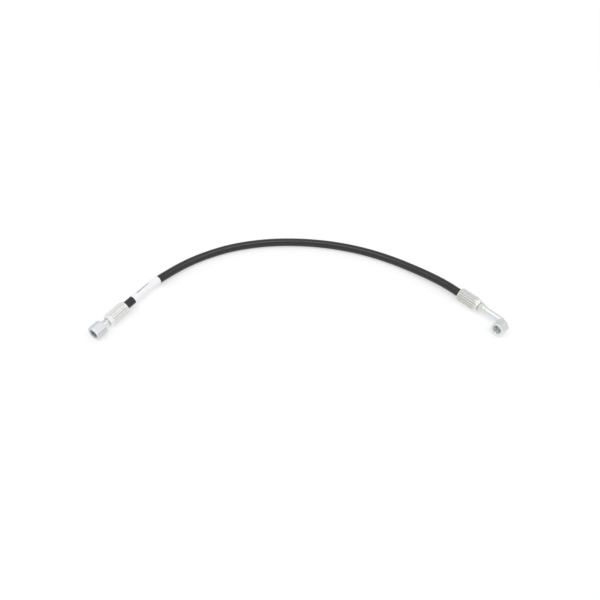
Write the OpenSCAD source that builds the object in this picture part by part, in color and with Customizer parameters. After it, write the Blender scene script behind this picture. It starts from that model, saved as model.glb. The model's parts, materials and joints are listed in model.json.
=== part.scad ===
// Hydraulic hose assembly: a one-wire braid hose with a straight 37 degree swivel at one end and
// a short-drop 90 degree swivel at the other, lying flat. Millimetres, +Z up. The origin is on
// the surface it lies on, under the middle of its two end fittings, and +X runs from the
// straight end to the elbow end.

/* [Hose] */
// Bore of the hose
hose_bore = 6.4; // [5.3:0.1:7.8]
// Wall of the inner tube
inner_tube_wall = 1.1; // [0.8:0.1:1.5]
// Thickness of the wire braid
braid_wall = 0.6; // [0.4:0.1:0.9]
// Wall of the outer cover
cover_wall = 1.2; // [0.9:0.1:1.6]

/* [Label] */
// Distance from the mouth of the straight shell to the label
label_offset = 16.5; // [5:0.5:60]
// Length of the label along the hose
label_length = 53; // [30:1:120]
// Thickness of the label
label_thickness = 0.25; // [0.15:0.05:0.5]

/* [Crimp shells] */
// Wall of the shell from the hose to the crest of a rib
shell_wall = 3.65; // [3:0.05:4.5]
// Length of the ribbed barrel
barrel_length = 27.4; // [22:0.2:36]
// Length of the tapered nose
nose_length = 7.8; // [6:0.2:11]
// Wall of the nose at its front, under the middle of a flat
nose_wall = 1.8; // [1.2:0.1:2.6]
// Number of ribs around the barrel
rib_count = 16; // [12:1:24]
// Height of a rib
rib_height = 0.8; // [0.4:0.1:1.1]
// Length of the lip that locks the shell onto its stem
lip_length = 4.3; // [3:0.1:6]

/* [Hose stems] */
// Wall of the barbed tail inside the hose
tail_wall = 0.75; // [0.6:0.05:1]
// Number of barbs on each tail
barb_count = 6; // [3:1:8]
// Height of the collar that stops the hose, over the inner tube
stop_rise = 1.5; // [1.2:0.05:1.8]
// Depth of the groove that each shell locks into
lock_depth = 0.9; // [0.7:0.05:1.2]

/* [Straight swivel] */
// Distance that the nut can be pushed back
nut_travel = 9; // [6:0.5:12]
// Length of the straight swivel nut
straight_nut_length = 18.5; // [17:0.5:23]
// Length of thread in the straight swivel nut
straight_thread_length = 9; // [7.5:0.25:9.5]
// Length of the seat head
head_length = 4.2; // [3.6:0.1:5]
// Diameter of the retaining wire
wire_d = 1.1; // [0.9:0.05:1.2]
// Turn of the straight nut from the place where it has a flat underneath
straight_nut_turn = 33; // [0:1:59]

/* [Short-drop elbow] */
// Distance from the mouth of the elbow shell to the elbow's outlet axis
elbow_reach = 80; // [64:0.5:100]
// Outside diameter of the bent tube
tube_d = 9.5; // [7.9:0.1:11.4]
// Wall of the bent tube
tube_wall = 1.25; // [0.9:0.05:1.5]
// Radius of the bend at the tube's axis
bend_radius = 9.3; // [8.5:0.1:12]
// Width across the flats of the stem's collar
collar_flats = 12.7; // [12:0.1:15]
// Length of the stem's collar
collar_length = 5.6; // [4:0.2:8]
// Length of the round socket in front of the collar
socket_length = 3.8; // [2.4:0.2:6]
// Wall of the round socket around the tube
socket_wall = 1.25; // [0.8:0.05:1.6]
// Angle by which the outlet is turned up from the surface
outlet_lift = 5.5; // [0:0.5:8]
// Gap between the side of the tube and the rear of the elbow nut
elbow_nut_gap = 1.35; // [1:0.05:1.8]
// Length of thread in the elbow nut
elbow_thread_length = 8; // [7:0.25:10]
// Turn of the elbow nut from the place where it has a flat underneath
elbow_nut_turn = 8; // [0:1:59]

/* [Swivel nuts] */
// Width across the flats of both nuts
nut_flats = 19; // [16:0.1:24]
// Bore of the 9/16-18 UNF thread, at its minor diameter
thread_minor_d = 12.92; // [11:0.02:15.6]
// Radial clearance between the thread and the seat head or the flare
head_clearance = 0.16; // [0.1:0.02:0.3]

/* [Hidden] */

// Round parts are drawn this fine
$fn = 64;
// Sides of the hose's drawn section
hose_sides = 12;
// Radial gap between pieces that are pressed or bonded together
seat_gap = 0.03;
// Radial gap between pieces that turn or slide on each other
run_gap = 0.1;
// Height of the hose's underside above the surface it lies on
lie_gap = 0.1;
// Cutters pass this far beyond what they cut
past = 1;

// Radii of the hose's layers
inner_tube_r = hose_bore / 2 + inner_tube_wall;
braid_r = inner_tube_r + braid_wall;
hose_r = braid_r + cover_wall;

// Lock between a shell and its stem
stop_r = inner_tube_r + stop_rise;
lock_r = stop_r - lock_depth;
lip_r = lock_r + run_gap;

// Shell, measured from its mouth
shell_r = hose_r + shell_wall;
shell_length = barrel_length + nose_length;
root_r = shell_r - rib_height;
rim_r = root_r - 0.15;
rim_length = 0.8;
nose_r = lip_r + nose_wall;
nose_slope = atan((shell_r - nose_r) / nose_length);
lip_start = shell_length - lip_length;
// Half the width of a rib's crest, and half that of its foot, as shares of the pitch
rib_crest = 0.24;
rib_foot = 0.34;
// Dimple on one flat of the nose: its place is a share of the nose's length behind the front
dimple_d = 1.8;
dimple_depth = 0.6;
dimple_place = 0.72;

// Stem, measured from the shell's mouth
tail_start = 2;
tail_r = hose_bore / 2 - seat_gap;
tail_bore_r = tail_r - tail_wall;
barb_depth = 0.3;
barb_length = 0.3;
stop_length = 2;
hose_end_gap = 0.3;
lock_start = lip_start - run_gap;
hose_stop = lock_start - stop_length;
hose_grip = hose_stop - hose_end_gap;
barb_pitch = (hose_grip - tail_start) / (barb_count + 1);

// Inside of a swivel nut
thread_r = thread_minor_d / 2;
head_r = thread_r - head_clearance;
cavity_r = thread_r + 0.3;
countersink = 0.75;
nut_corner_r = nut_flats / 2 / cos(30);
face_r = nut_flats / 2 - 0.3;
corner_chamfer = (nut_corner_r - face_r) * tan(30);

// Straight swivel, measured from the shell's mouth
shoulder_height = 0.5;
neck_r = head_r - shoulder_height;
straight_gap = 2.2;
neck_start = shell_length + straight_gap;
nut_stand_off = 0.7;
nut_rear = shell_length + nut_travel + nut_stand_off;
nut_front = nut_rear + straight_nut_length;
straight_thread_start = nut_front - countersink - straight_thread_length;

// Seat head: a 37 degree funnel that the mating cone fits
seat_angle = 37;
seat_mouth_r = head_r - 0.55;
neck_bore_r = 3.3;
bore_step = 1;
head_gap = 0.25;
head_front = straight_thread_start - head_gap;
head_rear = head_front - head_length;
seat_depth = (seat_mouth_r - neck_bore_r) / tan(seat_angle);

// Retaining wire behind the seat head
wire_ring_r = neck_r + run_gap + wire_d / 2;
wire_place = head_rear - wire_d / 2 - run_gap;
wire_groove_r = wire_ring_r + wire_d / 2 + run_gap;
wire_groove_width = wire_d + 2 * run_gap;
wire_groove_start = wire_place - wire_groove_width / 2;
wire_arc = 340;

// Elbow stem, measured from the shell's mouth
collar_start = shell_length + 0.5;
collar_end = collar_start + collar_length;
socket_end = collar_end + socket_length;
tube_r = tube_d / 2;
tube_bore_r = tube_r - tube_wall;
socket_r = tube_r + socket_wall;
socket_start = socket_end - 5;
braze_length = 1.6;
braze_r = socket_r - 0.35;
// Hollow of the braze fillet, as shares of its height and its length
braze_hollow = [0.35, 0.45];

// Elbow outlet, measured from the tube's axis
flare_edge = 0.35;
flare_back = bend_radius + 0.15;
flare_back_length = (head_r - tube_r) / tan(seat_angle);
flare_rim_length = 1.2;
flare_rim = flare_back + flare_back_length + flare_rim_length;
flare_mouth_r = head_r - flare_edge;
flare_depth = (flare_mouth_r - tube_bore_r) / tan(seat_angle);
flare_gap = 0.15;
elbow_thread_start = flare_rim + flare_gap;
elbow_drop = elbow_thread_start + elbow_thread_length + countersink;
elbow_nut_rear = tube_r + elbow_nut_gap;
lip_bore_r = tube_r + 2 * run_gap;
shoulder_start = flare_back - run_gap;
// Flared mouth at the nut's rear that clears the inside of the bend
relief_start = bend_radius - 0.7;
relief_gap = 0.25;
bend_inner_r = bend_radius - tube_r;
relief_r = bend_radius - sqrt(pow(bend_inner_r, 2) - pow(bend_radius - elbow_nut_rear, 2)) + relief_gap;

// Places of the two fittings: the mouth of each shell and the way its fitting points
straight_mouth = [-252, 11];
straight_heading = 235.5;
elbow_mouth = [237.6, 38.4];
elbow_heading = -46;
// Heights of their axes: each end rests on its shell or on the lowest corner or flat of its nut
straight_height = max(shell_r, nut_corner_r * cos(30 - straight_nut_turn));
elbow_height = max(shell_r, nut_flats / 2);
// Straight run of hose outside each mouth
lead_length = 22;

// Route of the hose between its straight leads, from the straight end to the elbow end. The
// third number is its height: 0 lies on the surface, and 1 is level with the fittings.
lead_height = 0.95;
route = [
    [-217.5, 59.5, 0.8], [-202.5, 76.5, 0.55], [-181.5, 97, 0.3], [-157.5, 115.5, 0.1],
    [-139, 126.5, 0], [-109.5, 139.5, 0], [-83.5, 147, 0], [-59.5, 151.5, 0],
    [-33.5, 154, 0], [-0.5, 154, 0], [23, 152, 0], [48.5, 148, 0],
    [77, 141, 0], [101, 133, 0], [127.5, 121.5, 0], [150, 109, 0.15],
    [173.5, 93.5, 0.4], [196.5, 76.5, 0.7]];

function unit(v) = v / norm(v);
function heading(a) = [cos(a), sin(a)];
function hose_point(p, share) =
    let (low = hose_r + lie_gap, end_height = p.x < 0 ? straight_height : elbow_height)
    [p.x, p.y, low + share * (end_height - low)];
function along(mouth, a, d, share) = hose_point(mouth + d * heading(a), share);

hose_path = concat(
    [along(straight_mouth, straight_heading, hose_grip, 1),
        along(straight_mouth, straight_heading, 0, 1),
        along(straight_mouth, straight_heading, -lead_length, lead_height)],
    [for (p = route) hose_point(p, p.z)],
    [along(elbow_mouth, elbow_heading, -lead_length, lead_height),
        along(elbow_mouth, elbow_heading, 0, 1),
        along(elbow_mouth, elbow_heading, hose_grip, 1)]);

// Distance along a path to each of its points
function runs(path) = [
    for (i = 0, s = 0; i < len(path);
        s = s + (i < len(path) - 1 ? norm(path[i + 1] - path[i]) : 0), i = i + 1) s];
function point_at(path, s) =
    let (r = runs(path), i = max([for (k = [0 : len(r) - 2]) if (r[k] <= s) k]))
    path[i] + (s - r[i]) * unit(path[i + 1] - path[i]);
function stretch(path, from, to) =
    let (r = runs(path))
    concat([point_at(path, from)],
        [for (i = [0 : len(path) - 1]) if (r[i] > from && r[i] < to) path[i]],
        [point_at(path, to)]);

// One ring of points around a path, with a flat side underneath
function tangent(path, i) =
    let (a = path[max(i - 1, 0)], b = path[i], c = path[min(i + 1, len(path) - 1)])
    i == 0 ? unit(c - b) : i == len(path) - 1 ? unit(b - a) : unit(unit(c - b) + unit(b - a));
function ring(path, i, r) =
    let (t = tangent(path, i), side = unit(cross([0, 0, 1], t)), up = cross(t, side))
    [for (k = [0 : hose_sides - 1])
        let (a = 360 * (k + 0.5) / hose_sides) path[i] + r * (cos(a) * side + sin(a) * up)];

// Hollow tube along a path. Both radii reach the corners of the rings.
module swept_tube(path, outer_r, inner_r) {
    n = hose_sides;
    last = len(path) - 1;
    bore = (last + 1) * n;
    points = concat(
        [for (i = [0 : last]) each ring(path, i, outer_r)],
        [for (i = [0 : last]) each ring(path, i, inner_r)]);
    faces = concat(
        [for (i = [0 : last - 1], k = [0 : n - 1]) let (m = (k + 1) % n, a = i * n)
            [a + k, a + m, a + n + m, a + n + k]],
        [for (i = [0 : last - 1], k = [0 : n - 1]) let (m = (k + 1) % n, a = bore + i * n)
            [a + k, a + n + k, a + n + m, a + m]],
        [for (k = [0 : n - 1]) let (m = (k + 1) % n)
            [k, bore + k, bore + m, m]],
        [for (k = [0 : n - 1]) let (m = (k + 1) % n, a = last * n)
            [a + k, a + m, bore + a + m, bore + a + k]]);
    polyhedron(points, faces);
}

// Frames of the fittings: Z runs from the shell's mouth to the nut. X points down, and the
// elbow's frame is rolled so that its outlet points up.
module at_straight() {
    translate([straight_mouth.x, straight_mouth.y, straight_height])
        rotate([0, 90, straight_heading]) children();
}

module at_elbow() {
    translate([elbow_mouth.x, elbow_mouth.y, elbow_height])
        rotate([0, 90, elbow_heading]) rotate([0, 0, -outlet_lift]) children();
}

// Frame of the elbow's outlet: Z runs from the tube's axis to the nut's front
module at_outlet() {
    at_elbow() translate([0, 0, elbow_reach]) rotate([90, 0, 0]) children();
}

// ---- Hose ----

module hose_inner_tube() {
    color("#1c1c1e")
        swept_tube(hose_path, inner_tube_r, hose_bore / 2 / cos(180 / hose_sides));
}

module hose_wire_braid() {
    color("#b9b2a0")
        swept_tube(hose_path, braid_r, inner_tube_r + seat_gap);
}

module hose_cover() {
    color("#262626")
        swept_tube(hose_path, hose_r, braid_r + seat_gap);
}

module hose_label() {
    start = hose_grip + label_offset;
    inside = hose_r + seat_gap;
    color("#f1f0f7")
        swept_tube(stretch(hose_path, start, start + label_length), inside + label_thickness, inside);
}

// ---- Crimp shell: a ribbed barrel with a nose of six tapering flats ----

module rib_outline() {
    corners = [[-rib_crest, shell_r], [rib_crest, shell_r], [rib_foot, root_r], [1 - rib_foot, root_r]];
    polygon([for (k = [0 : rib_count - 1], c = corners)
        c.y * heading((k + c.x) * 360 / rib_count)]);
}

// Ribs behind a plain rim at the mouth
module shell_body() {
    cylinder(r = rim_r, h = rim_length + past);
    translate([0, 0, rim_length]) linear_extrude(shell_length - rim_length) rib_outline();
}

module nose_flat_cutter() {
    size = 4 * shell_r;
    translate([nose_r, 0, shell_length])
        rotate([0, -nose_slope, 0])
            translate([0, -size / 2, -size]) cube([size, size, 2 * size]);
}

module dimple() {
    translate([nose_r + dimple_place * (shell_r - nose_r), 0, shell_length - dimple_place * nose_length])
        rotate([0, 90 - nose_slope, 0])
            translate([0, 0, -dimple_depth]) cylinder(d = dimple_d, h = dimple_depth + past);
}

module shell(first_flat, dimple_angle) {
    difference() {
        shell_body();
        for (k = [0 : 5]) rotate([0, 0, first_flat + 60 * k]) nose_flat_cutter();
        translate([0, 0, -past]) cylinder(r = hose_r + run_gap, h = lip_start + past);
        cylinder(r = lip_r, h = shell_length + past);
        rotate([0, 0, dimple_angle]) dimple();
    }
}

module straight_shell() {
    color("#c9c8be") at_straight() shell(14, 134);
}

module elbow_shell() {
    color("#c9c8be") at_elbow() shell(25, 205);
}

// ---- Stems: a barbed tail, a collar that stops the hose and the groove the shell locks in ----

// Outline of the tail, from its end to the front of the lock groove
function tail_outline(lock_end) = concat(
    [[tail_bore_r, tail_start], [tail_r - barb_depth, tail_start]],
    [for (k = [1 : barb_count]) let (z = tail_start + k * barb_pitch)
        each [[tail_r, z - barb_length * barb_pitch], [tail_r, z], [tail_r - barb_depth, z]]],
    [[tail_r - barb_depth, hose_stop], [stop_r, hose_stop], [stop_r, lock_start],
        [lock_r, lock_start], [lock_r, lock_end]]);

module straight_stem() {
    color("#d3d8d8") at_straight() rotate_extrude() polygon(concat(
        tail_outline(neck_start),
        [[neck_r, neck_start], [neck_r, head_rear], [head_r, head_rear + shoulder_height],
            [head_r, head_front], [seat_mouth_r, head_front],
            [neck_bore_r, head_front - seat_depth], [neck_bore_r, neck_start + bore_step],
            [tail_bore_r, neck_start]]));
}

module elbow_stem() {
    color("#d5dccd") at_elbow() difference() {
        union() {
            rotate_extrude() polygon(concat(
                tail_outline(collar_start), [[tail_bore_r, collar_start]]));
            collar();
            translate([0, 0, collar_end]) ring_between(tail_bore_r, socket_r, socket_length);
        }
        translate([0, 0, socket_start]) cylinder(r = tube_r + seat_gap, h = socket_end);
    }
}

module ring_between(inner_r, outer_r, length) {
    rotate_extrude() translate([inner_r, 0]) square([outer_r - inner_r, length]);
}

// Hexagonal collar with its corners turned down
module collar() {
    corner_r = collar_flats / 2 / cos(30);
    turned = corner_r - collar_flats / 2 + 0.2;
    difference() {
        intersection() {
            translate([0, 0, collar_start]) cylinder(r = corner_r, h = collar_length, $fn = 6);
            rotate_extrude() polygon([
                [0, collar_start], [corner_r - turned, collar_start],
                [corner_r, collar_start + turned], [corner_r, collar_end - turned],
                [corner_r - turned, collar_end], [0, collar_end]]);
        }
        cylinder(r = tail_bore_r, h = collar_end + past);
    }
}

// ---- Bent tube ----

// Quarter bend from the stem's axis into the outlet's axis
module bend(r) {
    translate([0, -bend_radius, elbow_reach - bend_radius])
        rotate([90, 0, 90]) rotate_extrude(angle = 90) translate([bend_radius, 0]) circle(r);
}

module elbow_tube() {
    tube_start = socket_start + seat_gap;
    leg_end = elbow_reach - bend_radius;
    color("#d9dfe0") {
        at_elbow() difference() {
            union() {
                translate([0, 0, tube_start]) cylinder(r = tube_r, h = leg_end - tube_start);
                bend(tube_r);
            }
            cylinder(r = tube_bore_r, h = leg_end);
            bend(tube_bore_r);
        }
        at_outlet() rotate_extrude() polygon([
            [tube_bore_r, bend_radius], [tube_r, bend_radius], [tube_r, flare_back],
            [head_r, flare_back + flare_back_length], [head_r, flare_rim],
            [flare_mouth_r, flare_rim], [tube_bore_r, flare_rim - flare_depth]]);
    }
}

module elbow_braze_ring() {
    color("#c8c3a8") at_elbow() rotate_extrude() polygon([
        [tube_r, socket_end], [braze_r, socket_end],
        [tube_r + braze_hollow.x * (braze_r - tube_r), socket_end + braze_hollow.y * braze_length],
        [tube_r, socket_end + braze_length]]);
}

// ---- Swivel nuts ----

// Hexagon with chamfered corners and a flat underneath
module nut_body(rear, front) {
    intersection() {
        translate([0, 0, rear]) rotate([0, 0, 30])
            cylinder(r = nut_corner_r, h = front - rear, $fn = 6);
        rotate_extrude() polygon([
            [0, rear], [face_r, rear], [nut_corner_r, rear + corner_chamfer],
            [nut_corner_r, front - corner_chamfer], [face_r, front], [0, front]]);
    }
}

// Threaded mouth of a nut and the countersink in front of it
module nut_mouth(thread_start, front) {
    translate([0, 0, thread_start]) cylinder(r = thread_r, h = front - thread_start);
    translate([0, 0, front - countersink])
        cylinder(r1 = thread_r, r2 = thread_r + 2 * countersink, h = 2 * countersink);
}

module straight_nut() {
    groove_end = wire_groove_start + wire_groove_width - seat_gap;
    color("#c3c8d0") at_straight() rotate([0, 0, straight_nut_turn]) difference() {
        nut_body(nut_rear, nut_front);
        nut_mouth(straight_thread_start, nut_front);
        translate([0, 0, nut_rear - past]) cylinder(r = thread_r, h = straight_nut_length);
        translate([0, 0, groove_end]) cylinder(r = cavity_r, h = straight_thread_start - groove_end);
        translate([0, 0, wire_groove_start]) cylinder(r = wire_groove_r, h = wire_groove_width);
        translate([0, 0, wire_place]) rotate([0, 90, 0])
            cylinder(d = wire_groove_width, h = nut_corner_r + past);
    }
}

// Split ring that holds the straight nut behind the seat head
module straight_nut_wire() {
    color("#8e9092") at_straight() translate([0, 0, wire_place])
        rotate_extrude(angle = wire_arc) translate([wire_ring_r, 0]) circle(d = wire_d);
}

module elbow_nut() {
    color("#b7c4bf") at_outlet() rotate([0, 0, elbow_nut_turn]) difference() {
        nut_body(elbow_nut_rear, elbow_drop);
        nut_mouth(elbow_thread_start, elbow_drop);
        rotate_extrude() polygon([
            [0, elbow_nut_rear - past], [relief_r, elbow_nut_rear - past], [relief_r, elbow_nut_rear],
            [lip_bore_r, relief_start], [lip_bore_r, shoulder_start],
            [cavity_r, shoulder_start + (cavity_r - lip_bore_r) / tan(seat_angle)],
            [cavity_r, elbow_thread_start], [0, elbow_thread_start]]);
    }
}

hose_inner_tube();
hose_wire_braid();
hose_cover();
hose_label();
straight_stem();
straight_shell();
straight_nut_wire();
straight_nut();
elbow_stem();
elbow_shell();
elbow_tube();
elbow_braze_ring();
elbow_nut();
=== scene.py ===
"""Looks of the hydraulic hose assembly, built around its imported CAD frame."""

import json
import math

import bmesh
import bpy
import numpy as np
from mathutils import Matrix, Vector


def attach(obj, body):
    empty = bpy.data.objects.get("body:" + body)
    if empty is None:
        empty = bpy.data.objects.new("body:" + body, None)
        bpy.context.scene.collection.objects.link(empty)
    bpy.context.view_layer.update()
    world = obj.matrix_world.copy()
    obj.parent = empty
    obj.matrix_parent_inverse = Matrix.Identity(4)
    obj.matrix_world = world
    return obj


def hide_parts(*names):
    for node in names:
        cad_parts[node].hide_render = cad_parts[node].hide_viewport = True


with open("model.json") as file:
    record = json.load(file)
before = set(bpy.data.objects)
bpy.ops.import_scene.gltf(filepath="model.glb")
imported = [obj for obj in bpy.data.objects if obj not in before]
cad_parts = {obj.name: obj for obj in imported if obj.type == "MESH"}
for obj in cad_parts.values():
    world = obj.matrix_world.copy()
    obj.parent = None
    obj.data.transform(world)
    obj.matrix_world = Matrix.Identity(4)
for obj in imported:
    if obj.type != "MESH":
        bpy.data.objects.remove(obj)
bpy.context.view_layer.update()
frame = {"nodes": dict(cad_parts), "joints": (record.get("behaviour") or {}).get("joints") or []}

# ---- Sizes, in millimetres. The lengths along the fittings are measured on the CAD nodes below. ----

MM = 0.001
UP = np.array([0.0, 0.0, 1.0])

# Hose layers
HOSE_BORE_R = 3.2
INNER_TUBE_R = 4.3
BRAID_R = 4.9
HOSE_R = 6.1
LAYER_GAP = 0.03
LIE_GAP = 0.1
RING_STEP = 2.2

# Label. Its rule is placed by the distance around the hose and along the label.
LABEL_START = 16.5
LABEL_LENGTH = 53
LABEL_THICKNESS = 0.25
LABEL_STEP = 1.2
LAP_SWELL = 0.012
RULE_PLACE = 10.1
RULE_WIDTH = 1.3
RULE_CENTRE = 22
RULE_HALF = 12

# Crimp shells
SHELL_WALL = 3.65
RIB_COUNT = 16
RIB_HEIGHT = 0.8
RIM_LENGTH = 0.8
NOSE_LENGTH = 7.8
NOSE_R = 6.8
LIP_R = 5.0
LIP_LENGTH = 4.3
LIP_GAP = 0.1
# Painted light on the shells, carried by the edge attribute: a painted highlight on the ribs' crests and
# painted shade in their roots, and a painted highlight on the nose's flats
RIB_PAINTED_LIGHT = 0.3
FLAT_PAINTED_HIGHLIGHT = 0.8
# The press mark on one flat: its place is a share of the nose's length behind the front. It lies
# nearer the front than the CAD's mark, clear of the ribs.
DIMPLE_R = 0.85
DIMPLE_DEPTH = 0.8
DIMPLE_PLACE = 0.54
# Angles in degrees: the first flat of each shell's nose, and the flat with the mark
STRAIGHT_FLAT = 14
STRAIGHT_DIMPLE = STRAIGHT_FLAT + 120
ELBOW_FLAT = 25
ELBOW_DIMPLE = ELBOW_FLAT + 180

# Stems
TAIL_R = 3.17
TAIL_BORE_R = 2.42
BARB_COUNT = 6
BARB_DEPTH = 0.3
STOP_R = 5.8
LOCK_R = 4.9
STOP_LENGTH = 2.0
HOSE_END_GAP = 0.3
NECK_R = 5.8
NECK_GAP = 2.2
NECK_BORE_R = 3.3
HEAD_R = 6.3
HEAD_LENGTH = 4.2
SEAT_MOUTH_R = 5.75
SEAT_ANGLE = math.radians(37)
COLLAR_FLATS = 12.7
COLLAR_LENGTH = 5.6
COLLAR_GAP = 0.5
SOCKET_R = 6.0
SOCKET_DEPTH = 5.0
SOCKET_GAP = 0.03

# Bent tube
TUBE_R = 4.75
TUBE_BORE_R = 3.5
BEND_RADIUS = 9.3
FLARE_START = 9.45
FLARE_RIM = 1.2
FLARE_MOUTH_R = 5.95

# Swivel nuts, with a 9/16-18 UNF thread
NUT_FLATS = 19.0
THREAD_MINOR_R = 6.46
THREAD_MAJOR_R = 7.14
THREAD_PITCH = 25.4 / 18
COUNTERSINK = 0.75
CAVITY_R = 6.76
STRAIGHT_THREAD = 9.0
ELBOW_THREAD = 8.0
ELBOW_NUT_TURN = 8
STRAIGHT_NUT_TURN = 33
WIRE_R = 0.55
WIRE_RING_R = 6.45
WIRE_GROOVE_R = 7.1
WIRE_ARC = math.radians(340)
RELIEF_R = 6.31
RELIEF_START = 8.6
LIP_BORE_R = 4.95
SHOULDER_START = 9.35


def unit(v):
    return np.asarray(v, float) / np.linalg.norm(v)


# ---- Camera ----

AIM = Vector((0.0016, 0.0346, 0.0))
ELEVATION = math.radians(46.75)
DISTANCE = 1.110
LENS = 45


def add_camera():
    data = bpy.data.cameras.new("camera")
    data.lens = LENS
    data.sensor_width = 36
    camera = bpy.data.objects.new("camera", data)
    camera.location = AIM + DISTANCE * Vector((0, -math.cos(ELEVATION), math.sin(ELEVATION)))
    camera.rotation_euler = (math.pi / 2 - ELEVATION, 0, 0)
    bpy.context.collection.objects.link(camera)
    bpy.context.scene.camera = camera


# ---- Frames of the fittings ----

def joint(name):
    return next(j for j in frame["joints"] if j["name"] == name)


class Fitting:
    """A frame in millimetres: z runs along the fitting, and x points down from it."""

    def __init__(self, origin, along, down):
        self.origin = np.asarray(origin, float)
        self.z = unit(along)
        self.x = unit(down)
        self.y = np.cross(self.z, self.x)

    def moved(self, distance):
        return Fitting(self.origin + distance * self.z, self.z, self.x)

    def turned(self, angle):
        return Fitting(self.origin, self.z, math.cos(angle) * self.x + math.sin(angle) * self.y)

    def world(self, points):
        """Points of this frame in the row frame, in metres"""
        p = np.asarray(points, float)
        return MM * (self.origin + p[..., :1] * self.x + p[..., 1:2] * self.y + p[..., 2:] * self.z)

    def span(self, node):
        """Lowest and highest place of a CAD node along z"""
        points = np.array([v.co for v in frame["nodes"][node].data.vertices]) / MM - self.origin
        along = points @ self.z
        return along.min(), along.max()


straight_joint = joint("straight_nut_spin")
outlet_joint = joint("elbow_nut_spin")
STRAIGHT = Fitting(np.array(straight_joint["pos_m"]) / MM, straight_joint["axis"], -UP)
STRAIGHT = STRAIGHT.moved(STRAIGHT.span("straight_shell")[0])
ELBOW_AXIS = np.cross(UP, outlet_joint["axis"])
ELBOW_DOWN = np.cross(ELBOW_AXIS, outlet_joint["axis"])
OUTLET = Fitting(np.array(outlet_joint["pos_m"]) / MM, outlet_joint["axis"], ELBOW_DOWN)
ELBOW = Fitting(OUTLET.origin, ELBOW_AXIS, ELBOW_DOWN)
ELBOW = ELBOW.moved(ELBOW.span("elbow_shell")[0])
ELBOW_REACH = float((OUTLET.origin - ELBOW.origin) @ ELBOW.z)

SHELL_LENGTH = STRAIGHT.span("straight_shell")[1]
SHELL_R = HOSE_R + SHELL_WALL
HOSE_GRIP = SHELL_LENGTH - LIP_LENGTH - LIP_GAP - STOP_LENGTH - HOSE_END_GAP
STRAIGHT_NUT_REAR, STRAIGHT_NUT_FRONT = STRAIGHT.span("straight_nut")
ELBOW_NUT_REAR, ELBOW_NUT_FRONT = OUTLET.span("elbow_nut")
HEAD_FRONT = STRAIGHT.span("straight_stem")[1]
HEAD_REAR = HEAD_FRONT - HEAD_LENGTH
WIRE_PLACE = HEAD_REAR - WIRE_R - 0.1
NECK_START = SHELL_LENGTH + NECK_GAP
COLLAR_START = SHELL_LENGTH + COLLAR_GAP
COLLAR_END = COLLAR_START + COLLAR_LENGTH
SOCKET_END = ELBOW.span("elbow_stem")[1]


# ---- Route of the hose, in millimetres ----

# It repeats part.scad's points, which were fitted to the photo and snapped to half a millimetre. The
# third number is the height: 0 lies on the floor, and 1 is level with the fittings.

LEAD_LENGTH = 22
LEAD_HEIGHT = 0.95
ROUTE = [
    (-217.5, 59.5, 0.8), (-202.5, 76.5, 0.55), (-181.5, 97, 0.3), (-157.5, 115.5, 0.1),
    (-139, 126.5, 0), (-109.5, 139.5, 0), (-83.5, 147, 0), (-59.5, 151.5, 0),
    (-33.5, 154, 0), (-0.5, 154, 0), (23, 152, 0), (48.5, 148, 0),
    (77, 141, 0), (101, 133, 0), (127.5, 121.5, 0), (150, 109, 0.15),
    (173.5, 93.5, 0.4), (196.5, 76.5, 0.7)]


def hose_point(x, y, share):
    low = HOSE_R + LIE_GAP
    end_height = (STRAIGHT if x < 0 else ELBOW).origin[2]
    return np.array([x, y, low + share * (end_height - low)])


def spline(points, start_slope, end_slope, per_span):
    """A cubic spline through the points with the given end directions, as closely spaced points"""
    p = np.array(points, float)
    h = np.linalg.norm(np.diff(p, axis=0), axis=1)
    n = len(p)
    a = np.zeros((n, n))
    b = np.zeros((n, 3))
    chord = np.diff(p, axis=0) / h[:, None]
    a[0, :2] = 2 * h[0], h[0]
    b[0] = 6 * (chord[0] - start_slope)
    a[-1, -2:] = h[-1], 2 * h[-1]
    b[-1] = 6 * (end_slope - chord[-1])
    for i in range(1, n - 1):
        a[i, i - 1:i + 2] = h[i - 1], 2 * (h[i - 1] + h[i]), h[i]
        b[i] = 6 * (chord[i] - chord[i - 1])
    m = np.linalg.solve(a, b)
    found = []
    for i in range(n - 1):
        for k in range(per_span):
            u = h[i] * k / per_span
            v = h[i] - u
            found.append(
                (m[i] * v ** 3 + m[i + 1] * u ** 3) / (6 * h[i])
                + (p[i] / h[i] - m[i] * h[i] / 6) * v + (p[i + 1] / h[i] - m[i + 1] * h[i] / 6) * u)
    return np.array(found + [p[-1]])


class Path:
    """A line of closely spaced points, read by the distance along it"""

    def __init__(self, points):
        self.points = np.array(points, float)
        steps = np.linalg.norm(np.diff(self.points, axis=0), axis=1)
        self.runs = np.concatenate([[0], np.cumsum(steps)])
        self.tangents = np.gradient(self.points, self.runs, axis=0)
        self.length = self.runs[-1]

    def read(self, table, s):
        return np.array([np.interp(s, self.runs, table[:, k]) for k in range(3)])

    def at(self, s):
        return self.read(self.points, s), unit(self.read(self.tangents, s))


def hose_path():
    ends = [f.origin - LEAD_LENGTH * f.z for f in (STRAIGHT, ELBOW)]
    leads = [hose_point(p[0], p[1], LEAD_HEIGHT) for p in ends]
    middle = [STRAIGHT.origin, leads[0], *[hose_point(*p) for p in ROUTE], leads[1], ELBOW.origin]
    inside = np.linspace(HOSE_GRIP, 0, 8)[:-1, None]
    start = STRAIGHT.origin + inside * STRAIGHT.z
    end = ELBOW.origin + inside[::-1] * ELBOW.z
    return Path(np.concatenate([start, spline(middle, -STRAIGHT.z, ELBOW.z, 8), end]))


# ---- Mesh tools ----

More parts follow.
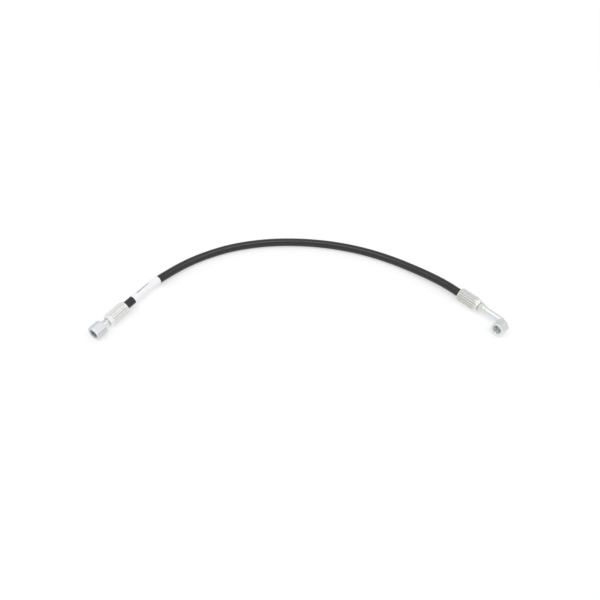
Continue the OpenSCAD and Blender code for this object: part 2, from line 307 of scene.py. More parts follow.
def finish_mesh(name, points, faces, body, slot, material, node, edges=None, lay=None, crease=40):
    """One piece from points in metres: it rides on a body and stands for a CAD node."""
    mesh = bpy.data.meshes.new(name)
    mesh.from_pydata([tuple(p) for p in points], [], [tuple(int(i) for i in f) for f in faces])
    if edges is not None:
        mesh.attributes.new("edge", "FLOAT", "POINT").data.foreach_set("value", edges.astype(np.float32))
    if lay is not None:
        mesh.uv_layers.new(name="lay").data.foreach_set("uv", lay.astype(np.float32).ravel())
    work = bmesh.new()
    work.from_mesh(mesh)
    bmesh.ops.remove_doubles(work, verts=work.verts, dist=2e-7)
    bmesh.ops.dissolve_degenerate(work, edges=work.edges, dist=1e-7)
    bmesh.ops.recalc_face_normals(work, faces=work.faces)
    work.to_mesh(mesh)
    work.free()
    mesh.shade_smooth()
    mesh.set_sharp_from_angle(angle=math.radians(crease))
    piece = bpy.data.objects.new(name, mesh)
    bpy.context.collection.objects.link(piece)
    mesh.materials.append(material)
    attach(piece, body)
    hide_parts(node)
    return piece


def grid_faces(rows, columns):
    """Faces of a grid whose last row meets its first, and its last column its first"""
    r = np.arange(rows)
    c = np.arange(columns)
    r, c = [x.ravel() for x in np.meshgrid(r, c, indexing="ij")]
    r2 = (r + 1) % rows
    c2 = (c + 1) % columns
    return np.stack([r * columns + c, r * columns + c2, r2 * columns + c2, r2 * columns + c], 1)


def grid_lay(along, around, rows, columns):
    """A place for each face corner: millimetres along and around, over 100"""
    r = np.arange(rows)
    c = np.arange(columns)
    r, c = [x.ravel() for x in np.meshgrid(r, c, indexing="ij")]
    r2 = (r + 1) % rows
    u = np.stack([along[r], along[r], along[r2], along[r2]], 1)
    v = np.stack([c, c + 1, c + 1, c], 1) * around / columns
    return np.stack([u, v], -1) / 100


def rounded(corners, steps=3):
    """Turns (radius, place, fillet) corners of a closed outline into (radius, place, edge) points.
    A fillet becomes an arc between two flat points, and edge is 1 on the arc. A sharp corner may
    give its edge as a fourth number."""
    points = []
    count = len(corners)
    for i, (r, z, fillet, *tone) in enumerate(corners):
        p = np.array([r, z])
        if fillet == 0:
            points.append((r, z, *(tone or [0.0])))
            continue
        a = np.array(corners[i - 1][:2]) - p
        b = np.array(corners[(i + 1) % count][:2]) - p
        cut_a = min(fillet, 0.3 * np.linalg.norm(a)) * unit(a)
        cut_b = min(fillet, 0.3 * np.linalg.norm(b)) * unit(b)
        points.append((*(p + 1.5 * cut_a), 0.0))
        for k in range(steps + 1):
            t = k / steps
            q = p + (1 - t) ** 2 * cut_a + t ** 2 * cut_b
            points.append((*q, 1.0 if 0 < k < steps else 0.4))
        points.append((*(p + 1.5 * cut_b), 0.0))
    return points


def turned(name, place, outline, angles, body, slot, material, node, corner=None, **options):
    """A piece whose closed outline, a list of (radius, place, edge) points, may vary with angle"""
    table = np.array([outline(a) for a in angles])
    r, z, edge = [table[..., k].T for k in range(3)]
    if corner is not None:
        edge = np.maximum(edge, np.stack([corner(a, r[:, k]) for k, a in enumerate(angles)], 1))
    points = np.stack([r * np.cos(angles), r * np.sin(angles), z], -1)
    rows, columns = r.shape
    lay = grid_lay(z.mean(1), 2 * math.pi * r.max(), rows, columns)
    return finish_mesh(
        name, place.world(points.reshape(-1, 3)), grid_faces(rows, columns), body, slot, material, node,
        edges=edge.ravel(), lay=lay, **options)


def swept(name, path, stations, sides, body, slot, material, node, around=None, **options):
    """A piece swept along a path through closed (distance, radius) stations"""
    angles = 2 * math.pi * np.arange(sides) / sides
    rings = []
    for s, r in stations:
        p, t = path.at(s)
        side = unit(np.cross(UP, t))
        top = np.cross(t, side)
        swell = 1 if around is None else around(s, angles)[:, None]
        rings.append(p + swell * r * (np.cos(angles)[:, None] * side + np.sin(angles)[:, None] * top))
    places = np.array([s for s, _ in stations])
    lay = grid_lay(places, 2 * math.pi * max(r for _, r in stations), len(stations), sides)
    return finish_mesh(
        name, MM * np.concatenate(rings), grid_faces(len(stations), sides), body, slot, material, node,
        lay=lay, **options)


def even_angles(count):
    return 2 * math.pi * np.arange(count) / count


def hexagon_radius(angle, flats, fillet):
    """Radius of a hexagon with rounded corners, whose flats face angles 0, 60 and so on"""
    apothem = flats / 2
    off = abs((angle + math.pi / 6) % (math.pi / 3) - math.pi / 6)
    centre = (apothem - fillet) / math.cos(math.pi / 6)
    if off <= math.atan2((apothem - fillet) * math.tan(math.pi / 6), apothem):
        return apothem / math.cos(off)
    turn = math.pi / 6 - off
    return centre * math.cos(turn) + math.sqrt(max(fillet ** 2 - (centre * math.sin(turn)) ** 2, 0))


def hexagon_angles(flats, fillet, per_side=18, per_corner=4):
    """Angles that follow a rounded hexagon: even on the flats and close together at the corners"""
    apothem = flats / 2
    edge = math.atan2((apothem - fillet) * math.tan(math.pi / 6), apothem)
    hold = 0.97 * edge
    on_flat = np.linspace(-hold, hold, per_side)
    on_corner = np.linspace(edge, math.pi / 3 - edge, per_corner + 1)
    one = np.concatenate([on_flat, on_corner])
    return np.concatenate([one + k * math.pi / 3 for k in range(6)])


def hexagon_corner(flats, fillet):
    """A function of an angle and radii: 1 on the corners of a rounded hexagon and 0 elsewhere"""
    apothem = flats / 2
    edge = math.atan2((apothem - fillet) * math.tan(math.pi / 6), apothem)

    def corner(angle, radii):
        off = abs((angle + math.pi / 6) % (math.pi / 3) - math.pi / 6)
        return 1.0 * (off > edge + 1e-6) * (radii > 0.97 * apothem)

    return corner


def smoothstep(x):
    x = np.clip(x, 0, 1)
    return x * x * (3 - 2 * x)


# ---- Material tools ----

class Shader:
    """A material's node tree with short ways to add nodes"""

    def __init__(self, name):
        self.material = bpy.data.materials.new(name)
        self.material.use_nodes = True
        self.tree = self.material.node_tree
        self.surface = self.tree.nodes["Principled BSDF"]

    def add(self, kind, inputs=None, **settings):
        node = self.tree.nodes.new(kind)
        for key, value in settings.items():
            setattr(node, key, value)
        for key, value in (inputs or {}).items():
            if isinstance(value, bpy.types.NodeSocket):
                self.tree.links.new(value, node.inputs[key])
            else:
                node.inputs[key].default_value = value
        return node

    def set(self, **values):
        for key, value in values.items():
            socket = self.surface.inputs[key.replace("_", " ")]
            if isinstance(value, bpy.types.NodeSocket):
                self.tree.links.new(value, socket)
            else:
                socket.default_value = value

    def place(self):
        return self.add("ShaderNodeTexCoord").outputs["Object"]

    def lay(self):
        return self.add("ShaderNodeUVMap", uv_map="lay").outputs["UV"]

    def stretched(self, vector, scale):
        return self.add("ShaderNodeMapping", {"Vector": vector, "Scale": scale}).outputs["Vector"]

    def noise(self, vector, scale, detail=3.0, roughness=0.55):
        return self.add(
            "ShaderNodeTexNoise",
            {"Vector": vector, "Scale": scale, "Detail": detail, "Roughness": roughness}).outputs["Fac"]

    def remap(self, value, low, high, to_low=0.0, to_high=1.0):
        return self.add(
            "ShaderNodeMapRange",
            {"Value": value, "From Min": low, "From Max": high, "To Min": to_low, "To Max": to_high},
        ).outputs["Result"]

    def math(self, operation, a, b=0.0):
        return self.add("ShaderNodeMath", {0: a, 1: b}, operation=operation).outputs[0]

    def mix(self, factor, a, b):
        return self.add(
            "ShaderNodeMix", {"Factor": factor, 6: a, 7: b}, data_type="RGBA").outputs[2]

    def attribute(self, name):
        return self.add("ShaderNodeAttribute", attribute_name=name).outputs["Fac"]

    def bump(self, height, strength, distance, normal=None):
        inputs = {"Height": height, "Strength": strength, "Distance": distance}
        if normal is not None:
            inputs["Normal"] = normal
        return self.add("ShaderNodeBump", inputs).outputs["Normal"]


def grey(level):
    return (level, level, level, 1)


def plated(name, colour, stain, wear_and_sheen_colour, rough=(0.2, 0.3), grain=0.04, lathe=0.0):
    """Zinc plate: clouded colour, fine pits, and turning marks where lathe is set. Where edge is positive
    it
    is brighter: worn on rounded edges and corners, and a painted highlight on the shells' rib crests and
    nose flats. Where edge is negative, in the rib roots, it is darker with painted shade."""
    s = Shader(name)
    place = s.place()
    cloud = s.remap(s.noise(place, 260, 3), 0.35, 0.7)
    spots = s.remap(s.noise(place, 1500, 2), 0.62, 0.8)
    colour = s.mix(cloud, (*colour, 1), (*stain, 1))
    colour = s.mix(s.math("MULTIPLY", spots, 0.15), colour, (*[0.55 * c for c in stain], 1))
    edge = s.attribute("edge")
    # Towards the bright colour where edge is positive: wear on rounded edges and corners, painted highlight
    # on rib crests and nose flats. Darker where edge is negative: painted shade in the rib roots.
    wear_and_sheen = s.math("MULTIPLY", edge, s.remap(s.noise(place, 700, 2), 0.3, 0.6, 0.6, 1))
    colour = s.mix(wear_and_sheen, colour, (*wear_and_sheen_colour, 1))
    colour = s.mix(s.math("MULTIPLY", edge, -1.0), colour, (*[0.5 * c for c in stain], 1))
    fine = s.noise(place, 2600, 2)
    marks = s.noise(s.stretched(s.lay(), (900, 6, 1)), 1, 2)
    s.set(
        Base_Color=colour, Metallic=1.0,
        Roughness=s.remap(s.math("ADD", s.math("MULTIPLY", fine, 0.4), s.math("MULTIPLY", cloud, 0.6)),
                          0.25, 0.75, *rough),
        Normal=s.bump(marks, lathe, 0.00002, s.bump(fine, grain, 0.00003)))
    return s.material


def rubber(name, colour, rough, wrap):
    """Black rubber: faint mottling, a dusting, and the print of the tape it was cured in"""
    s = Shader(name)
    place = s.place()
    mottle = s.remap(s.noise(place, 90, 4), 0.3, 0.7)
    dust = s.remap(s.noise(place, 900, 3, 0.7), 0.55, 0.8)
    tone = s.mix(mottle, grey(colour), grey(1.25 * colour))
    tone = s.mix(s.math("MULTIPLY", dust, 0.15), tone, grey(3 * colour))
    lay = s.lay()
    across = s.add("ShaderNodeTexWave", {
        "Vector": s.stretched(lay, (100, 100, 1)), "Scale": 0.35, "Distortion": 0.4, "Detail": 1.0},
        bands_direction="DIAGONAL").outputs["Fac"]
    weave = s.noise(s.stretched(lay, (260, 140, 1)), 1.0, 2)
    height = s.math("ADD", s.math("MULTIPLY", across, 0.35), weave)
    s.set(
        Base_Color=tone, Roughness=s.remap(mottle, 0, 1, *rough), Specular_IOR_Level=0.5,
        Normal=s.bump(height, wrap, 0.00006, s.bump(s.noise(place, 1800, 3), 0.1, 0.00004)))
    return s.material


def braid():
    """Crossing brass-coated wires, darker in the hollows between them with painted shade"""
    s = Shader("braid_wires")
    lay = s.lay()
    pair = []
    for slant in (1, -1):
        wire = s.add("ShaderNodeTexWave", {
            "Vector": s.stretched(lay, (100, 100 * slant, 1)), "Scale": 0.7, "Distortion": 0.0},
            bands_direction="DIAGONAL", wave_profile="SIN").outputs["Fac"]
        pair.append(wire)
    height = s.math("MAXIMUM", *pair)
    # The colour goes dark where the wires' height is low: painted shade between the wires
    s.set(
        Base_Color=s.mix(height, (0.12, 0.1, 0.07, 1), (0.6, 0.52, 0.36, 1)), Metallic=1.0,
        Roughness=s.remap(height, 0, 1, 0.6, 0.35), Normal=s.bump(height, 0.6, 0.0002))
    return s.material


def film():
    """White film with one broken printed rule along its upper side"""
    s = Shader("label_film")
    place = s.place()
    split = s.add("ShaderNodeSeparateXYZ", {"Vector": s.lay()})
    along = s.math("MULTIPLY", split.outputs["X"], 100)
    around = s.math("MULTIPLY", split.outputs["Y"], 100)
    band = s.math("COMPARE", around, RULE_PLACE)
    band.node.inputs[2].default_value = RULE_WIDTH / 2
    cells = s.noise(s.add("ShaderNodeCombineXYZ", {"X": along}).outputs[0], 1.4, 1)
    dashes = s.math("GREATER_THAN", cells, 0.42)
    ends = s.math("COMPARE", along, HOSE_GRIP + LABEL_START + RULE_CENTRE)
    ends.node.inputs[2].default_value = RULE_HALF
    ink = s.math("MULTIPLY", s.math("MULTIPLY", band, dashes), ends)
    cloud = s.remap(s.noise(place, 120, 3), 0.3, 0.7)
    white = s.mix(cloud, (0.83, 0.825, 0.86, 1), (0.88, 0.875, 0.9, 1))
    s.set(
        Base_Color=s.mix(s.math("MULTIPLY", ink, 0.9), white, (0.03, 0.03, 0.04, 1)),
        Roughness=s.remap(cloud, 0, 1, 0.32, 0.42), Specular_IOR_Level=0.5,
        Normal=s.bump(s.noise(place, 300, 2), 0.12, 0.0001))
    return s.material


# ---- Hose ----

def tube_stations(start, end, outer, inner, step, fillet=0.3):
    """Out along a tube's outside and back along its inside, with rounded outer rims"""
    s = np.linspace(start + fillet, end - fillet, int((end - start) / step))
    cut = 0.3 * fillet
    return [
        (start, outer - fillet), (start + cut, outer - cut), *[(x, outer) for x in s],
        (end - cut, outer - cut), (end, outer - fillet), (end, inner),
        *[(x, inner) for x in s[::-1]], (start, inner)]


def add_hose(path):
    end = path.length
    layers = (
        ("inner_tube", HOSE_BORE_R, INNER_TUBE_R, "hose_inner_tube", "tube_rubber",
            rubber("tube_rubber", 0.015, (0.36, 0.44), 0.1)),
        ("wire_braid", INNER_TUBE_R + LAYER_GAP, BRAID_R, "hose_wire_braid", "braid_wire", braid()),
        ("outer_cover", BRAID_R + LAYER_GAP, HOSE_R, "hose_cover", "cover_rubber",
            rubber("cover_rubber", 0.012, (0.3, 0.36), 0.15)))
    for name, inner, outer, node, slot, material in layers:
        stations = tube_stations(0, end, outer, inner, RING_STEP)
        swept(name, path, stations, 40, "root", slot, material, node)
    label_from = HOSE_GRIP + LABEL_START
    inside = HOSE_R + LAYER_GAP
    label = swept(
        "label", path,
        tube_stations(
            label_from, label_from + LABEL_LENGTH, inside + LABEL_THICKNESS, inside, LABEL_STEP, 0.1),
        64, "root", "label_film", film(), "hose_label",
        around=lambda s, angles: 1 + LAP_SWELL * (1 - angles / (2 * math.pi)))
    [tuple(MM * p) for p in path.points]


# ---- Crimp shells ----

def rib_radius(angle, wobble):
    """Radius of the ribbed barrel, with a broad crest, a soft flank and a root, and its painted light: a
    painted highlight on the crest and painted shade in the root
    """
    turns = angle / (2 * math.pi) * RIB_COUNT
    k = int(math.floor(turns + 0.5)) % RIB_COUNT
    off = abs(turns - math.floor(turns + 0.5))
    flank = float(smoothstep((off - 0.19 - 0.04 * wobble[k]) / 0.17))
    return SHELL_R - 0.06 * abs(wobble[k]) - RIB_HEIGHT * flank, RIB_PAINTED_LIGHT * (1 - 2 * flank)


def shell_outline(angle, first_flat, wobble):
    rib, tone = rib_radius(angle, wobble)
    flat = (angle - first_flat + math.pi / 6) % (math.pi / 3) - math.pi / 6
    slope = (SHELL_R - NOSE_R) / NOSE_LENGTH
    front = NOSE_R / math.cos(flat)
    # Where the tapering flat leaves the rib
    leave = SHELL_LENGTH - (rib * math.cos(flat) - NOSE_R) / slope
    rim = SHELL_R - RIB_HEIGHT - 0.15
    inner = HOSE_R + 0.1
    # The barrel's points carry the ribs' painted highlight and painted shade, and the flats' points below
    # carry a painted highlight
    barrel = [(rib, z, 0, tone) for z in np.linspace(RIM_LENGTH + 1.2, leave - 0.6, 14)]
    face = []
    for z in np.linspace(leave + 0.5, SHELL_LENGTH - 0.6, 44):
        r = (NOSE_R + (SHELL_LENGTH - z) * slope) / math.cos(flat)
        face.append((r, z, 0, FLAT_PAINTED_HIGHLIGHT))
    return rounded([
        (inner, 0, 0.15), (rim, 0, 0.25), (rim, RIM_LENGTH, 0.1),
        (rib, RIM_LENGTH + 0.45, 0.15), *barrel, (rib, leave, 0.22), *face,
        (front, SHELL_LENGTH, 0.25), (LIP_R, SHELL_LENGTH, 0.15),
        (LIP_R, SHELL_LENGTH - LIP_LENGTH, 0), (inner, SHELL_LENGTH - LIP_LENGTH, 0)])


def press_dimple(piece, place, angle):
    """Pushes the mesh in at one flat of the nose."""
    slope = (SHELL_R - NOSE_R) / NOSE_LENGTH
    z = SHELL_LENGTH - DIMPLE_PLACE * NOSE_LENGTH
    r = NOSE_R + DIMPLE_PLACE * (SHELL_R - NOSE_R)
    centre = place.world([r * math.cos(angle), r * math.sin(angle), z])
    outward = unit(place.world([math.cos(angle), math.sin(angle), slope]) - place.world([0, 0, 0]))
    for v in piece.data.vertices:
        off = (np.array(v.co) - centre) / MM
        depth = off @ outward
        ring = np.linalg.norm(off - depth * outward)
        if ring < 1.3 * DIMPLE_R and abs(depth) < 1.0:
            push = DIMPLE_DEPTH * float(smoothstep((1.15 * DIMPLE_R - ring) / (0.45 * DIMPLE_R)))
            v.co = Vector(np.array(v.co) - MM * push * outward)


def add_shell(name, place, first_flat, dimple_angle, node, material, seed):
    """A crimp shell. The seed sets how uneven its ribs are, and the angles are in degrees."""
    wobble = np.random.default_rng(seed).uniform(-1, 1, RIB_COUNT)
    first = math.radians(first_flat)
    shell = turned(
        name, place, lambda a: shell_outline(a, first, wobble), even_angles(RIB_COUNT * 22),
        "root", "shell_plating", material, node, crease=50)
    press_dimple(shell, place, math.radians(dimple_angle))


# ---- Stems ----

def tail_corners(lock_end):
    """The barbed tail, the collar that stops the hose and the lock groove"""
    hose_stop = HOSE_GRIP + HOSE_END_GAP
    lock_start = hose_stop + STOP_LENGTH
    start = 2.0
    pitch = (HOSE_GRIP - start) / (BARB_COUNT + 1)
    low = TAIL_R - BARB_DEPTH
    barbs = []
    for k in range(1, BARB_COUNT + 1):
        z = start + k * pitch
        barbs += [(TAIL_R, z - 0.3 * pitch, 0), (TAIL_R, z, 0), (low, z, 0)]
    return [(TAIL_BORE_R, start, 0), (low, start, 0), *barbs, (low, hose_stop, 0),
            (STOP_R, hose_stop, 0.15), (STOP_R, lock_start, 0.15), (LOCK_R, lock_start, 0),
            (LOCK_R, lock_end, 0)]


def add_straight_stem(material):
    seat_depth = (SEAT_MOUTH_R - NECK_BORE_R) / math.tan(SEAT_ANGLE)
    corners = [
        *tail_corners(NECK_START), (NECK_R, NECK_START, 0.35), (NECK_R, HEAD_REAR, 0.1),
        (HEAD_R, HEAD_REAR + 0.5, 0.15), (HEAD_R, HEAD_FRONT, 0.2), (SEAT_MOUTH_R, HEAD_FRONT, 0.1),
        (NECK_BORE_R, HEAD_FRONT - seat_depth, 0.2), (NECK_BORE_R, NECK_START + 1, 0),
        (TAIL_BORE_R, NECK_START, 0)]
    outline = rounded(corners)
    turned("straight_stem_piece", STRAIGHT, lambda a: outline, even_angles(96), "root", "stem_plating",
           material, "straight_stem")


def add_elbow_stem(material):
    edge_fillet = 0.7

    def outline(angle):
        hexagon = hexagon_radius(angle, COLLAR_FLATS, edge_fillet)
        face = COLLAR_FLATS / 2 - 0.2
        turn = 0.8 * (hexagon - face)
        return rounded([
            *tail_corners(COLLAR_START), (face, COLLAR_START, 0.15), (hexagon, COLLAR_START + turn, 0.3),
            (hexagon, COLLAR_END - turn, 0.3), (face, COLLAR_END, 0.15),
            (SOCKET_R - 0.25, COLLAR_END, 0.05), (SOCKET_R, COLLAR_END + 0.5, 0.2),
            (SOCKET_R, SOCKET_END, 0.3), (TUBE_R + SOCKET_GAP, SOCKET_END, 0.1),
            (TUBE_R + SOCKET_GAP, SOCKET_END - SOCKET_DEPTH, 0),
            (TAIL_BORE_R, SOCKET_END - SOCKET_DEPTH, 0)])

    turned(
        "elbow_stem_piece", ELBOW, outline, hexagon_angles(COLLAR_FLATS, edge_fillet), "root",
        "elbow_stem_plating", material, "elbow_stem", corner=hexagon_corner(COLLAR_FLATS, edge_fillet))


# ---- Bent tube and its braze ----

def elbow_path():
    """Along the leg, round the bend and out through the nut, from the socket's floor"""
    leg = np.linspace(SOCKET_END - SOCKET_DEPTH + SOCKET_GAP, ELBOW_REACH - BEND_RADIUS, 24)
    points = [ELBOW.origin + s * ELBOW.z for s in leg]
    centre = ELBOW.origin + (ELBOW_REACH - BEND_RADIUS) * ELBOW.z + BEND_RADIUS * OUTLET.z
    for a in np.linspace(0, math.pi / 2, 33)[1:]:
        points.append(centre + BEND_RADIUS * (math.sin(a) * ELBOW.z - math.cos(a) * OUTLET.z))
    flare_end = FLARE_START + (HEAD_R - TUBE_R) / math.tan(SEAT_ANGLE) + FLARE_RIM
    for s in np.linspace(BEND_RADIUS, flare_end, 9)[1:]:
        points.append(OUTLET.origin + s * OUTLET.z)
    return Path(points)


def add_elbow_tube(material):
    path = elbow_path()
    end = path.length
    back_length = (HEAD_R - TUBE_R) / math.tan(SEAT_ANGLE)
    funnel = (FLARE_MOUTH_R - TUBE_BORE_R) / math.tan(SEAT_ANGLE)
    flare_back = end - FLARE_RIM - back_length
    outside = [(s, TUBE_R) for s in np.linspace(0, flare_back, 100)]
    flare = [(end - FLARE_RIM - 0.1, HEAD_R - 0.08), (end - FLARE_RIM + 0.15, HEAD_R), (end - 0.2, HEAD_R),
             (end - 0.05, HEAD_R - 0.05), (end, HEAD_R - 0.2), (end, FLARE_MOUTH_R + 0.05),
             (end - 0.1, FLARE_MOUTH_R - 0.07)]
    inside = [(s, TUBE_BORE_R) for s in np.linspace(end - funnel, 0, 90)]
    swept("bent_tube", path, outside + flare + inside, 56, "root", "tube_plating", material, "elbow_tube",
          crease=30)


def add_braze(material):
    """A fillet of braze with a slightly uneven toe"""
    height = SOCKET_R - 0.35 - TUBE_R

    def outline(angle):
        uneven = 0.1 * math.sin(3 * angle + 1) + 0.07 * math.sin(7 * angle)
        toe = 1.35 + 1.3 * uneven
        face = [(0.0, 1.0), (0.14, 0.62), (0.32, 0.36), (0.58, 0.15), (1.0, 0.0)]
        hollow = [(TUBE_R + height * (1 - 0.3 * abs(uneven)) * r, SOCKET_END + toe * z, 0) for z, r in face]
        return [(TUBE_R, SOCKET_END, 0), *hollow]

    turned("braze_fillet", ELBOW, outline, even_angles(90), "root", "braze_metal", material,
           "elbow_braze_ring", crease=60)


# ---- Swivel nuts ----

def thread_radius(place, angle, start):
    """Radius of an internal thread whose first turn grows out of the bore at start"""
    phase = (place / THREAD_PITCH - angle / (2 * math.pi)) % 1
    crest, flank, root = 0.25, 0.3125, 0.125
    if phase < crest:
        depth = 0
    elif phase < crest + flank:
        depth = (phase - crest) / flank
    elif phase < crest + flank + root:
        depth = 1
    else:
        depth = (1 - phase) / flank
    grown = float(smoothstep((place - start) / THREAD_PITCH))
    return THREAD_MINOR_R + (THREAD_MAJOR_R - THREAD_MINOR_R) * depth * grown


def add_nut(name, place, turn, rear, front, thread_length, inside, body, slot, material, node):
    """A hexagonal nut with a real thread, turned from the place where a flat is underneath.
    inside gives its bore behind the thread."""
    place = place.turned(math.radians(turn))
    edge_fillet = 0.45
    face = NUT_FLATS / 2 - 0.3
    thread_start = front - COUNTERSINK - thread_length
    rows = np.arange(front - 0.12, thread_start, -THREAD_PITCH / 12)

    def outline(angle):
        hexagon = hexagon_radius(angle, NUT_FLATS, edge_fillet)
        chamfer = (hexagon - face) * math.tan(math.pi / 6)
        thread = []
        for z in rows:
            mouth = THREAD_MINOR_R + COUNTERSINK - (front - z)
            thread.append((max(thread_radius(z, angle, thread_start), mouth), z, 0))
        return rounded([
            (face, rear, 0.2), (hexagon, rear + chamfer, 0.28), (hexagon, front - chamfer, 0.28),
            (face, front, 0.2), (THREAD_MINOR_R + COUNTERSINK, front, 0.12), *thread, *inside])

    return turned(
        name, place, outline, hexagon_angles(NUT_FLATS, edge_fillet), body, slot, material, node,
        corner=hexagon_corner(NUT_FLATS, edge_fillet), crease=35)


def drill(piece, place, along, radius, start, end):
    """Drills a hole down the frame's x axis through one flat of a nut."""
    bpy.ops.mesh.primitive_cylinder_add(vertices=32, radius=MM * radius, depth=MM * (end - start))
    cutter = bpy.context.object
    cutter.location = Vector(place.world([(start + end) / 2, 0, along]))
    cutter.rotation_euler = Vector(place.x).to_track_quat("Z", "Y").to_euler()
    bpy.context.view_layer.update()
    cut = piece.modifiers.new("drill", "BOOLEAN")
    cut.operation = "DIFFERENCE"
    cut.solver = "EXACT"
    cut.object = cutter
    bpy.context.view_layer.objects.active = piece
    bpy.ops.object.modifier_apply(modifier=cut.name)
    bpy.data.objects.remove(cutter)


def add_straight_nut(material):
    thread_start = STRAIGHT_NUT_FRONT - COUNTERSINK - STRAIGHT_THREAD
    groove = WIRE_R + 0.1
    nut = add_nut(
        "straight_swivel_nut", STRAIGHT, STRAIGHT_NUT_TURN, STRAIGHT_NUT_REAR, STRAIGHT_NUT_FRONT,
        STRAIGHT_THREAD,
        [(THREAD_MINOR_R, thread_start, 0), (CAVITY_R, thread_start, 0), (CAVITY_R, WIRE_PLACE + groove, 0),
            (WIRE_GROOVE_R, WIRE_PLACE + groove, 0), (WIRE_GROOVE_R, WIRE_PLACE - groove, 0),
            (THREAD_MINOR_R, WIRE_PLACE - groove, 0), (THREAD_MINOR_R, STRAIGHT_NUT_REAR, 0.15)],
        "straight_nut", "straight_nut_plating", material, "straight_nut")
    place = STRAIGHT.turned(math.radians(STRAIGHT_NUT_TURN))
    drill(nut, place, WIRE_PLACE, groove, WIRE_GROOVE_R - 0.3, NUT_FLATS / 2 + 1)


def add_elbow_nut(material):
    thread_start = ELBOW_NUT_FRONT - COUNTERSINK - ELBOW_THREAD
    shoulder_end = SHOULDER_START + (CAVITY_R - LIP_BORE_R) / math.tan(SEAT_ANGLE)
    add_nut(
        "elbow_swivel_nut", OUTLET, ELBOW_NUT_TURN, ELBOW_NUT_REAR, ELBOW_NUT_FRONT, ELBOW_THREAD,
        [(THREAD_MINOR_R, thread_start, 0), (CAVITY_R, thread_start, 0), (CAVITY_R, shoulder_end, 0),
            (LIP_BORE_R, SHOULDER_START, 0.1), (LIP_BORE_R, RELIEF_START, 0.1),
            (RELIEF_R, ELBOW_NUT_REAR, 0.2)],
        "elbow_nut", "elbow_nut_plating", material, "elbow_nut")


def add_wire(material):
    """The split retaining wire, with rounded ends"""
    angles = np.linspace(0, WIRE_ARC, 72)
    ring = STRAIGHT.moved(WIRE_PLACE)
    flat = np.stack([WIRE_RING_R * np.cos(angles), WIRE_RING_R * np.sin(angles), 0 * angles], 1)
    centres = ring.world(flat) / MM
    sides = 16
    turn = even_angles(sides)
    rows = []
    for k, (a, c) in enumerate(zip(angles, centres)):
        outward = math.cos(a) * ring.x + math.sin(a) * ring.y
        thick = WIRE_R * (0.55 if k in (0, len(angles) - 1) else 1)
        rows.append(c + thick * (np.cos(turn)[:, None] * outward + np.sin(turn)[:, None] * ring.z))
    caps = [np.repeat(c[None], sides, 0) for c in (centres[-1], centres[0])]
    last = (len(angles) - 1) * sides
    faces = grid_faces(len(rows), sides)[:last].tolist()
    faces += [[last + i, last + (i + 1) % sides, last + sides + i] for i in range(sides)]
    faces += [[(i + 1) % sides, i, last + 2 * sides + i] for i in range(sides)]
    finish_mesh(
        "retaining_wire", MM * np.concatenate(rows + caps), faces, "straight_nut_wire", "wire_steel",
        material, "straight_nut_wire")


# ---- Studio, in metres ----

STRIP_PLACE = (0.6, -0.95, 5)
STRIP_AIM = (0.6, 0, 0)
STRIP_SIZE = (8.1, 1.7)
STRIP_POWER = 125
WORLD_STRENGTH = 0.75
FLOOR_HALF = 3.0
FLOOR_WHITE = 0.97
# How much of the floor is plain white to the rays that show it; the rest keeps the shadow
FLOOR_SHARE = 0.54


def add_area(name, place, aim, size, power):
    data = bpy.data.lights.new(name, "AREA")
    data.shape = "RECTANGLE"
    data.size, data.size_y = size
    data.energy = power
    lamp = bpy.data.objects.new(name, data)
    lamp.location = place
    lamp.rotation_euler = (Vector(aim) - Vector(place)).to_track_quat("-Z", "Y").to_euler()
    bpy.context.collection.objects.link(lamp)


def seen_ray(tree):
    """1 for rays that show the background: from the camera, in a reflection or through glass"""
    path = tree.nodes.new("ShaderNodeLightPath")
    total = path.outputs["Is Camera Ray"]
    for name in ("Is Glossy Ray", "Is Transmission Ray"):
        add = tree.nodes.new("ShaderNodeMath")
        add.operation = "MAXIMUM"
        tree.links.new(total, add.inputs[0])
        tree.links.new(path.outputs[name], add.inputs[1])
        total = add.outputs[0]
    return total


def add_floor():
    half = FLOOR_HALF
    corners = [(-half, -half, 0), (half, -half, 0), (half, half, 0), (-half, half, 0)]
    mesh = bpy.data.meshes.new("floor")
    mesh.from_pydata(corners, [], [(0, 1, 2, 3)])
    floor = bpy.data.objects.new("floor", mesh)
    bpy.context.collection.objects.link(floor)
    s = Shader("floor")
    tree = s.tree
    s.set(Base_Color=grey(FLOOR_WHITE), Roughness=0.9, Specular_IOR_Level=0.1)
    white = s.add("ShaderNodeEmission", {"Color": grey(1.0), "Strength": 1.0})
    share = s.math("MULTIPLY", seen_ray(tree), FLOOR_SHARE)
    mix = s.add("ShaderNodeMixShader", {0: share, 1: s.surface.outputs[0], 2: white.outputs[0]})
    tree.links.new(mix.outputs[0], tree.nodes["Material Output"].inputs["Surface"])
    mesh.materials.append(s.material)


def add_world():
    world = bpy.data.worlds.new("studio")
    world.use_nodes = True
    tree = world.node_tree
    plain = tree.nodes["Background"]
    plain.inputs["Color"].default_value = grey(1.0)
    plain.inputs["Strength"].default_value = WORLD_STRENGTH
    white = tree.nodes.new("ShaderNodeBackground")
    white.inputs["Strength"].default_value = 1.0
    mix = tree.nodes.new("ShaderNodeMixShader")
    tree.links.new(seen_ray(tree), mix.inputs[0])
    tree.links.new(plain.outputs[0], mix.inputs[1])
    tree.links.new(white.outputs[0], mix.inputs[2])
    tree.links.new(mix.outputs[0], tree.nodes["World Output"].inputs["Surface"])
    bpy.context.scene.world = world


def add_studio():
    add_floor()
    add_world()
    add_area("strip", STRIP_PLACE, STRIP_AIM, STRIP_SIZE, STRIP_POWER)
    bpy.context.scene.view_settings.view_transform = "Standard"


# ---- The part ----

add_camera()
add_hose(hose_path())
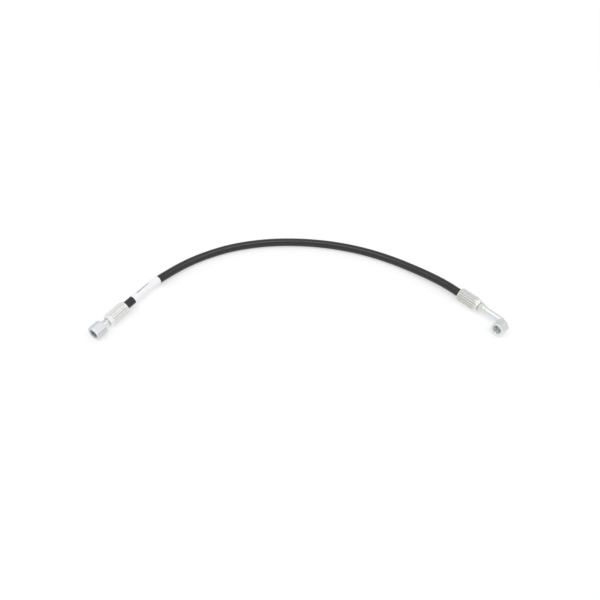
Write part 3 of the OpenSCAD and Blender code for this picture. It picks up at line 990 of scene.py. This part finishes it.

# Plating of each piece: its colour, its clouded colour and the colour of its worn edges and painted
# highlights
SHELL_ZINC = plated(
    "shell_zinc", (0.82, 0.82, 0.8), (0.77, 0.77, 0.75), (0.95, 0.95, 0.93), rough=(0.5, 0.58), grain=0.02)
DULL_SHELL_ZINC = plated(
    "dull_shell_zinc", (0.74, 0.74, 0.72), (0.69, 0.69, 0.67), (0.86, 0.86, 0.84),
    rough=(0.7, 0.78), grain=0.02)
STEM_ZINC = plated(
    "stem_zinc", (0.8, 0.82, 0.83), (0.74, 0.76, 0.78), (0.95, 0.95, 0.95), rough=(0.2, 0.28), lathe=0.03)
GREEN_ZINC = plated(
    "green_zinc", (0.8, 0.85, 0.78), (0.73, 0.78, 0.71), (0.95, 0.96, 0.93), rough=(0.38, 0.46), grain=0.02)
TUBE_ZINC = plated(
    "tube_zinc", (0.8, 0.83, 0.83), (0.75, 0.78, 0.79), (0.95, 0.96, 0.96), rough=(0.44, 0.5), grain=0.01)
BRAZE_ZINC = plated(
    "braze_zinc", (0.76, 0.78, 0.73), (0.67, 0.69, 0.64), (0.9, 0.9, 0.86), rough=(0.3, 0.4), grain=0.03)
LILAC_ZINC = plated(
    "lilac_zinc", (0.66, 0.685, 0.7), (0.61, 0.635, 0.655), (0.85, 0.87, 0.88),
    rough=(0.34, 0.4), grain=0.02)
GREY_ZINC = plated(
    "grey_green_zinc", (0.77, 0.81, 0.79), (0.72, 0.76, 0.74), (0.93, 0.95, 0.94),
    rough=(0.34, 0.4), grain=0.02)
add_shell(
    "straight_crimp_shell", STRAIGHT, STRAIGHT_FLAT, STRAIGHT_DIMPLE, "straight_shell", SHELL_ZINC, seed=11)
add_shell(
    "elbow_crimp_shell", ELBOW, ELBOW_FLAT, ELBOW_DIMPLE, "elbow_shell", DULL_SHELL_ZINC, seed=23)
add_straight_stem(STEM_ZINC)
add_elbow_stem(GREEN_ZINC)
add_elbow_tube(TUBE_ZINC)
add_braze(BRAZE_ZINC)
add_straight_nut(LILAC_ZINC)
add_elbow_nut(GREY_ZINC)
add_wire(plated("wire_steel", (0.5, 0.5, 0.52), (0.4, 0.4, 0.42), (0.6, 0.6, 0.6)))
add_studio()
